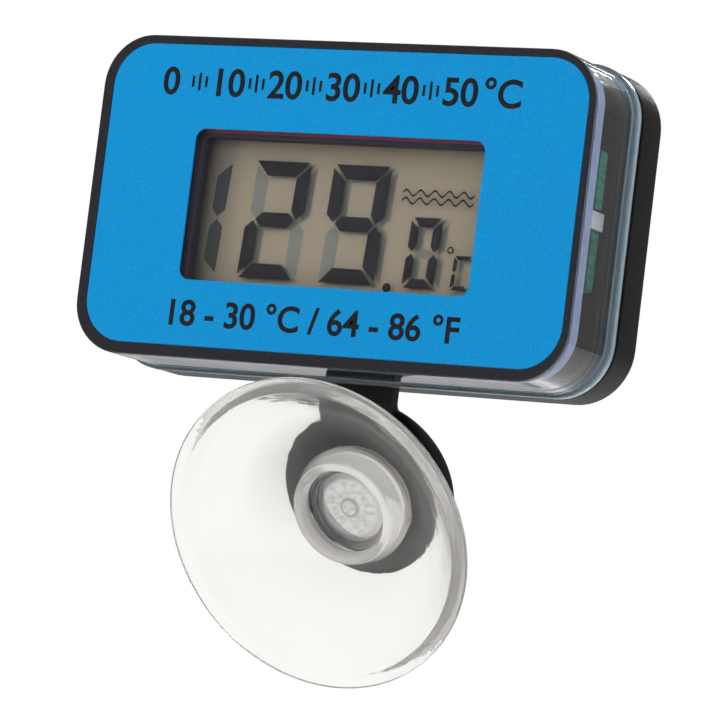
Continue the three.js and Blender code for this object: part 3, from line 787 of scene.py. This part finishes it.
def rear_cover():
    """Back tray with its spigot, the battery well and the leaning tab."""
    back = CASE_DEPTH
    out = (FRONT[0] - 2 * WALL - COVER[0]) / 2 - SPIGOT.gap
    groove, inner = out - SPIGOT.groove, out - SPIGOT.wall
    floor = back - COVER_WALL
    profile = rounded([
        (-8.0, back, 0), (0.0, back, 0.7), (0.0, COVER_FRONT, 0.15), (out, COVER_FRONT, 0.05),
        (out, SPIGOT.groove_back, 0.1), (groove, SPIGOT.groove_back, 0.1),
        (groove, SPIGOT.groove_front, 0.1), (out, SPIGOT.groove_front, 0.1),
        (out, SPIGOT.front, 0.2), (inner, SPIGOT.front, 0.2), (inner, floor, 0.4), (-6.0, floor, 0),
    ])
    tray = loft("rear_cover_moulding", around(COVER, profile))
    well_back = back - WELL.cover
    well = rounded([
        (0, WELL.front), (WELL.radius, WELL.front, 0.2), (WELL.radius, well_back), (0, well_back),
    ])
    combine(tray, turned("well", well), "UNION")
    half, front = TAB_SIZE.half, COVER_FRONT + TAB_SIZE.setback
    low = (-half, front, NECK.bottom)
    high = (half, front + TAB_SIZE.thickness, NECK.top)
    combine(tray, block("neck", low, high, NECK.edge), "UNION")
    combine(tray, tab_ring(), "UNION")
    mouth = BORE[-1][0]
    bore = [(0, BORE[0][1]), *BORE, (mouth, back - BORE_EDGE), (mouth + BORE_EDGE, back)]
    bore += [(mouth + BORE_EDGE, back + 1), (0, back + 1)]
    combine(tray, turned("bore", bore), "DIFFERENCE")
    finish_piece(tray, "black", replaces=["rear_cover"])
    tray.data.materials.append(MATERIALS["spigot"])
    for face in tray.data.polygons:
        if face.center.y < (FACE_Y + COVER_FRONT - 0.01) * MM and face.center.z > SHELL_LOW.z * MM:
            face.material_index = 1


def tab_ring():
    """The tab's disc with the hole for the cup's stem, and the stretch that meets the neck."""
    radius, half, top = TAB_SIZE.radius, TAB_SIZE.half, TAB_SIZE.reach
    start = math.asin(half / radius)
    steps = 96
    outline = [(-half, top)]
    for step in range(steps + 1):
        angle = math.pi / 2 + start + (2 * math.pi - 2 * start) * step / steps
        outline.append((radius * math.cos(angle), TAB_SIZE.rise + radius * math.sin(angle)))
    outline.append((half, top))
    half_thick = TAB_SIZE.thickness / 2
    plate = loft("tab", [[(x, y, z) for x, z in outline] for y in (-half_thick, half_thick)], TAB)
    hole = [(0, -3), (TAB_SIZE.hole, -3), (TAB_SIZE.hole, 3), (0, 3)]
    combine(plate, turned("tab_hole", hole, TAB), "DIFFERENCE")
    bevel(plate, TAB_SIZE.edge, angle=50)
    return plate


def case_seal():
    """Rubber ring in the spigot's groove."""
    out = (FRONT[0] - 2 * WALL - COVER[0]) / 2 - SEAL.gap
    inner, front, back = out - SEAL.depth, SEAL.front, SEAL.back
    section = rounded([(out, front), (out, back), (inner, back), (inner, front)], SEAL.corner, closed=True)
    ring = loft("case_seal_ring", around(COVER, section), caps=False)
    finish_piece(ring, "rubber", replaces=["case_seal"])


def battery_cap():
    """Screwed cap with a coin slot, and the ring in its groove."""
    back = box_mm("battery_cap")[1].y - FACE_Y
    face = back - CAP.dish
    profile = rounded([
        (0, CAP.floor), (CAP.boss, CAP.floor, 0.1), (CAP.boss, CAP.boss_front, 0.1),
        (CAP.skirt, CAP.boss_front, 0.2), (CAP.skirt, CAP.under_head, 0.05),
        (CAP.head, CAP.under_head, 0.1), (CAP.head, back, 0.35), (CAP.rim, back, 0.1),
        (CAP.rim - 0.2, face, 0.1), (0, face),
    ])
    cap = turned("battery_cap_moulding", profile)
    low = (-SLOT.length / 2, back - SLOT.depth, -SLOT.width / 2)
    high = (SLOT.length / 2, back + 1, SLOT.width / 2)
    combine(cap, block("coin_slot", low, high, SLOT.edge), "DIFFERENCE")
    finish_piece(cap, "cap", "battery_cap", ["battery_cap"])
    ring_low, ring_high = box_mm("battery_cap_ring")
    height = (ring_low.y + ring_high.y) / 2 - FACE_Y
    radius, thick = CAP_RING
    angles = [step * math.pi / 8 for step in range(16)]
    section = [(radius + thick * math.cos(a), height + thick * math.sin(a)) for a in angles]
    ring = turned("battery_cap_ring_rubber", section, closed=True)
    finish_piece(ring, "rubber", "battery_cap_ring", ["battery_cap_ring"])


# -------- display

def segment_outlines(size):
    """Outlines of the seven segments about the digit's centre, by letter."""
    w, h, t = size.width / 2, size.height / 2, size.stroke
    g = SEGMENT_GAP / 2 * min(1.0, t)
    m = t / 2
    cut = t * 0.55
    return {
        "a": [(-w + g * 2, h), (w - g * 2, h), (w - t - g, h - t), (-w + t + g, h - t)],
        "d": [(-w + g * 2, -h), (-w + t + g, -h + t), (w - t - g, -h + t), (w - g * 2, -h)],
        "b": [(w, h - g * 3), (w, m + g), (w - cut, g), (w - t, m + g * 2), (w - t, h - t - g * 2)],
        "c": [(w, -h + g * 3), (w - t, -h + t + g * 2), (w - t, -m - g * 2), (w - cut, -g), (w, -m - g)],
        "f": [(-w, h - g * 3), (-w + t, h - t - g * 2), (-w + t, m + g * 2), (-w + cut, g), (-w, m + g)],
        "e": [
            (-w, -h + g * 3), (-w, -m - g), (-w + cut, -g),
            (-w + t, -m - g * 2), (-w + t, -h + t + g * 2),
        ],
        "g": [
            (-w + cut + g * 2, 0), (-w + t + g * 2, m), (w - t - g * 2, m),
            (w - cut - g * 2, 0), (w - t - g * 2, -m), (-w + t + g * 2, -m),
        ],
    }


def plates(name, outlines, front, thickness, material):
    """Many thin plates of XZ outlines as one object."""
    vertices, faces = [], []
    for outline in outlines:
        base, count = len(vertices), len(outline)
        for y in (front, front + thickness):
            vertices += [(x, y, z) for x, z in outline]
        faces.append(tuple(base + i for i in range(count)))
        faces.append(tuple(base + count + i for i in reversed(range(count))))
        for i in range(count):
            j = (i + 1) % count
            faces.append((base + i, base + j, base + count + j, base + count + i))
    obj = new_object(name, vertices, faces)
    return finish_piece(obj, material)


def circle(x, z, radius, steps=24):
    """Points of a circle, anticlockwise."""
    angles = [2 * math.pi * i / steps for i in range(steps)]
    return [(x + radius * math.cos(a), z + radius * math.sin(a)) for a in angles]


def ring_band(x, z, inner, outer):
    """Quads of a flat ring."""
    inside, outside = circle(x, z, inner), circle(x, z, outer)
    quads = []
    for i in range(len(inside)):
        j = (i + 1) % len(inside)
        quads.append([inside[i], outside[i], outside[j], inside[j]])
    return quads


def waves(z):
    """A wavy band at height z, as a generic sign for water."""
    points = []
    for i in range(WAVES.steps + 1):
        t = i / WAVES.steps
        rise = WAVES.amplitude * math.sin(2 * math.pi * WAVES.count * t)
        points.append((WAVES.x + WAVES.length * t, z + rise))
    half = WAVES.stroke / 2
    quads = []
    for (x0, z0), (x1, z1) in zip(points, points[1:]):
        quads.append([(x0, z0 - half), (x1, z1 - half), (x1, z1 + half), (x0, z0 + half)])
    return quads


def grown(outline, amount):
    """An outline moved outwards by about `amount`."""
    centre = sum((Vector(point) for point in outline), Vector((0, 0))) / len(outline)
    result = []
    for point in outline:
        away = Vector(point) - centre
        result.append(tuple(Vector(point) + away / max(away.length, 1e-6) * amount))
    return result


def display():
    """Lit and unlit segments, their shadows on the reflector, the sheets and the frame."""
    lit, unlit, leading = [], [], []
    for figure, size, cx, cz in DIGITS:
        chosen = SEGMENTS_OF.get(figure, "")
        for letter, outline in segment_outlines(size).items():
            placed = [(cx + x + SLANT * z, cz + z) for x, z in outline]
            if letter in chosen:
                lit.append(placed)
            elif figure and size is not UNIT:
                unlit.append(placed)
            elif not figure and letter in "bc":
                leading.append(placed)
    shadows = [[(x + SHADOW_SHIFT[0], z + SHADOW_SHIFT[1]) for x, z in outline] for outline in lit]
    lit.append(circle(*DECIMAL_POINT))
    lit += ring_band(*DEGREE_RING)
    for row in WAVES.rows:
        lit += waves(row)
    glass_back = box_mm("lcd_front_glass")[1].y - FACE_Y
    ground = box_mm("lcd_rear_polariser")[0].y - FACE_Y
    outer = [grown(outline, OUTER_SHADOW) for outline in shadows]
    inner = [grown(outline, INNER_SHADOW) for outline in shadows]
    thin = PRINT_ON_GROUND
    plates("lcd_segments", lit, glass_back + INK, INK, "segment")
    # From front to back: unlit segments, inner shadows, outer shadows.
    plates("lcd_unlit_segments", unlit, ground - 5 * thin, thin, "ghost")
    # The leading one sits in the painted shadow at the left edge, so its unlit segments are darker.
    plates("lcd_unlit_one", leading, ground - 5 * thin, thin, "ghost_in_painted_shade")
    plates("lcd_shade_outer", outer, ground - 3 * thin, thin, "shade_outer")
    plates("lcd_shade_inner", inner, ground - 4 * thin, 0.75 * thin, "shade_inner")
    for node, material, slot, edge in SHEETS:
        sheet(node, material, edge)
    display_frame()


def sheet(node, material, edge):
    """A display sheet or strip with its edges eased, in the CAD node's place."""
    low, high = box_mm(node)
    shift = Vector((0, FACE_Y, MIDDLE_Z))
    obj = block(node + "_sheet", low - shift, high - shift, edge)
    return finish_piece(obj, material, replaces=[node])


def display_frame():
    """Dark bezel round the display, with the thin red line along its top."""
    low, high = box_mm("lcd_frame")
    width, height = high.x - low.x, high.z - low.z
    middle = (low.z + high.z) / 2 - MIDDLE_Z
    front, back = low.y - FACE_Y, high.y - FACE_Y
    step = front + FRAME_STEP
    outer = (width, height, 1.0, 0.0, middle)
    pocket = (width - 2, height - 2, 0.4, 0.0, middle)
    loops = around(outer, [(0, back), (0, front + 0.1), (-0.1, front)])
    loops += around(FRAME_OPENING, [(0.1, front), (0, front + 0.1), (0, step)])
    loops += around(pocket, [(0, step), (0, back)])
    piece = loft("lcd_frame_moulding", loops, caps=False)
    finish_piece(piece, "dark_frame", replaces=["lcd_frame"])
    thick = FRAME_LINE_THICKNESS
    plates("lcd_frame_line", [FRAME_LINE], front - thick, thick, "frame_line")


# -------- suction cup

def bezier(points, steps):
    """Points along a cubic curve."""
    result = []
    for i in range(steps + 1):
        t = i / steps
        weights = [(1 - t) ** 3, 3 * t * (1 - t) ** 2, 3 * t * t * (1 - t), t ** 3]
        result.append(tuple(sum(w * p[k] for w, p in zip(weights, points)) for k in (0, 1)))
    return result


def trim_shoulder(cup, tab_front):
    """Uneven hand-trimmed edge of the shoulder, inside its nominal radius."""
    for vertex in cup.data.vertices:
        local = CUP.inverted() @ (vertex.co / MM)
        radius = math.hypot(local.x, local.z)
        if abs(radius - SHOULDER) < 0.3 and SHOULDER_BACK - 0.2 < local.y < tab_front - 0.05:
            turn = math.atan2(local.z, local.x)
            uneven = 0.5 + 0.3 * math.sin(9 * turn + 0.6) + 0.2 * math.sin(16 * turn + 2.1)
            shrink = 1 - SHOULDER_TRIM * uneven / radius
            vertex.co = CUP @ Vector((local.x * shrink, local.y, local.z * shrink)) * MM


def suction_cup():
    """Thin clear bell with a recessed hub, the stem through the tab and the knob behind it."""
    radius, face, floor, root = HUB.radius, HUB.face, HUB.floor, HUB.root
    start = (radius, root)
    end = (LIP.inner, 0.0)
    inside = bezier([start, *BELL_CURVE, end], 32)
    outside = []
    for here, there in zip(inside[1:], inside[:-1]):
        along = (Vector(here) - Vector(there)).normalized()
        outside.append((here[0] - along.y * BELL_WALL, here[1] + along.x * BELL_WALL))
    outside.reverse()
    hub = rounded([
        (0, floor - GATE.dip, 0), (GATE.radius, floor - GATE.dip, 0.1), (GATE.edge, floor, 0.1),
        (HUB.recess, floor, 0.5), (radius - HUB.rib, face, 0.25), (radius, face, 0.3),
        (*start, 0.25), inside[2],
    ])
    lip = rounded([
        inside[-2], (*end, 0.3), (LIP.outer, 0.0, 0.12), (LIP.outer, LIP.edge, 0.15), outside[1],
    ])
    tab_front = TAB_DISTANCE - TAB_SIZE.thickness / 2 - RUNNING_GAP
    tab_back = TAB_DISTANCE + TAB_SIZE.thickness / 2 + RUNNING_GAP
    stem, knob = TAB_SIZE.hole - RUNNING_GAP, KNOB.radius
    top = tab_back + KNOB.rise
    neck = rounded([
        outside[-3], (SHOULDER, SHOULDER_BACK, 0.5), (SHOULDER, tab_front, 0.25), (stem, tab_front, 0.1),
        (stem, tab_back, 0.1), (knob, tab_back, 0.35), (knob, tab_back + KNOB.side, 0.5),
        (knob - KNOB.bevel, tab_back + KNOB.bevel_rise, 0.8), (knob - KNOB.dome, top, 0.8), (0, top),
    ])
    profile = hub[:-1] + inside[2:-2] + lip[:-1] + outside[1:-3] + neck
    cup = turned("suction_cup_vinyl", profile, CUP, segments=160, smooth=60)
    trim_shoulder(cup, tab_front)
    finish_piece(cup, "pvc", "suction_cup", ["suction_cup"])


# -------- inner parts that keep their CAD shape

def inner_parts():
    """Better materials for the pieces that keep their CAD mesh."""
    looks = {
        "board": ["circuit_board"],
        "resin": ["chip_blob", "resistor_1", "resistor_2", "thermistor_bead"],
        "ceramic": ["capacitor_1", "capacitor_2"],
        "solder": ["thermistor_lead_inner", "thermistor_lead_outer"],
        "steel": ["button_cell_can", "button_cell_pole"],
        "nylon": ["button_cell_gasket"],
        "brass": ["battery_contact_pole", "battery_contact_can"],
    }
    for look, nodes in looks.items():
        for node in nodes:
            materials = frame["nodes"][node].data.materials
            materials.clear()
            materials.append(MATERIALS[look])


# -------- floor, light and camera

def stage():
    """Pale floor and white surroundings, whose strength depends on the kind of ray and its direction."""
    half = FLOOR.half
    corners = [(-half, -half, 0), (half, -half, 0), (half, half, 0), (-half, half, 0)]
    floor = new_object("floor", corners, [(0, 1, 2, 3)], Matrix.Translation((0, 0, FLOOR.z)))
    floor.data.materials.append(floor_paint())
    world = bpy.data.worlds.new("studio")
    world.use_nodes = True
    tree = world.node_tree
    tree.nodes.clear()
    link = tree.links.new

    def add(kind):
        return tree.nodes.new("ShaderNode" + kind)

    output = add("OutputWorld")
    background = add("Background")
    background.inputs["Color"].default_value = (1, 1, 1, 1)
    path = add("LightPath").outputs
    axes = add("SeparateXYZ")
    link(add("TexCoord").outputs["Generated"], axes.inputs[0])

    def feed(socket, value):
        if isinstance(value, float):
            socket.default_value = value
        else:
            link(value, socket)

    def graded(axis, start, end, low, high):
        """From low to high as the direction's part along the axis grows from start to end."""
        node = add("MapRange")
        for socket, value in (("From Min", start), ("From Max", end), ("To Min", low), ("To Max", high)):
            node.inputs[socket].default_value = value
        link(axes.outputs[axis], node.inputs["Value"])
        return node.outputs["Result"]

    def combined(operation, first, second):
        node = add("Math")
        node.operation = operation
        feed(node.inputs[0], first)
        feed(node.inputs[1], second)
        return node.outputs[0]

    def choose(flag, chosen, otherwise):
        node = add("Mix")
        link(path[flag], node.inputs[0])
        feed(node.inputs[2], otherwise)
        feed(node.inputs[3], chosen)
        return node.outputs[0]

    dark = SURROUNDINGS.dark
    behind = graded("Y", 0.0, 0.6, dark, SURROUNDINGS.behind)
    above = graded("Z", 0.2, 1.0, dark, SURROUNDINGS.above)
    reflected = choose("Is Glossy Ray", combined("MAXIMUM", behind, above), SURROUNDINGS.diffuse)
    scattered = combined("MINIMUM", path["Diffuse Depth"], 1.0)
    inside = combined("MULTIPLY", scattered, SURROUNDINGS.inside)
    mirrored = combined("MINIMUM", path["Glossy Depth"], 1.0)
    kept = combined("SUBTRACT", 1.0, combined("MULTIPLY", mirrored, SURROUNDINGS.bounced))
    straight = combined("MULTIPLY", graded("Y", -0.5, 0.1, SURROUNDINGS.front, 1.0), kept)
    through = combined("MAXIMUM", straight, inside)
    strength = choose("Is Camera Ray", 1.0, choose("Is Transmission Ray", through, reflected))
    link(strength, background.inputs["Strength"])
    link(background.outputs[0], output.inputs[0])
    scene = bpy.context.scene
    scene.world = world
    scene.view_settings.view_transform = "Standard"
    scene.cycles.transparent_max_bounces = 32
    scene.cycles.max_bounces = 16
    scene.cycles.transmission_bounces = 16


def area_light(name, location, target, size, power, shiny):
    """A soft lamp; one that is not shiny stays out of reflections and clear parts."""
    data = bpy.data.lights.new(name, "AREA")
    data.shape = "RECTANGLE"
    data.size, data.size_y = size
    data.energy = power
    lamp = add_object(name, data)
    lamp.location = location
    lamp.rotation_euler = (Vector(target) - Vector(location)).to_track_quat("-Z", "Y").to_euler()
    lamp.visible_glossy = shiny
    lamp.visible_transmission = shiny


def camera():
    """The camera at the photo's viewing angle."""
    azimuth, elevation, roll = map(math.radians, (CAMERA.azimuth, CAMERA.elevation, CAMERA.roll))
    level = math.cos(elevation)
    away = Vector((math.sin(azimuth) * level, -math.cos(azimuth) * level, math.sin(elevation)))
    data = bpy.data.cameras.new("camera")
    data.lens = CAMERA.lens
    data.sensor_width = CAMERA.sensor
    data.clip_start = 0.01
    data.clip_end = 10
    obj = add_object("camera", data)
    upright = (-away).to_track_quat("-Z", "Y")
    obj.rotation_mode = "QUATERNION"
    obj.rotation_quaternion = Matrix.Rotation(roll, 3, away).to_quaternion() @ upright
    obj.location = (CASE @ Vector(CAMERA_AIM) + away * CAMERA.distance) * MM
    bpy.context.scene.camera = obj


camera()
stage()
for lamp in LAMPS:
    area_light(*lamp)
front_shell()
label()
printed_marks()
rear_cover()
case_seal()
battery_cap()
display()
suction_cup()
inner_parts()
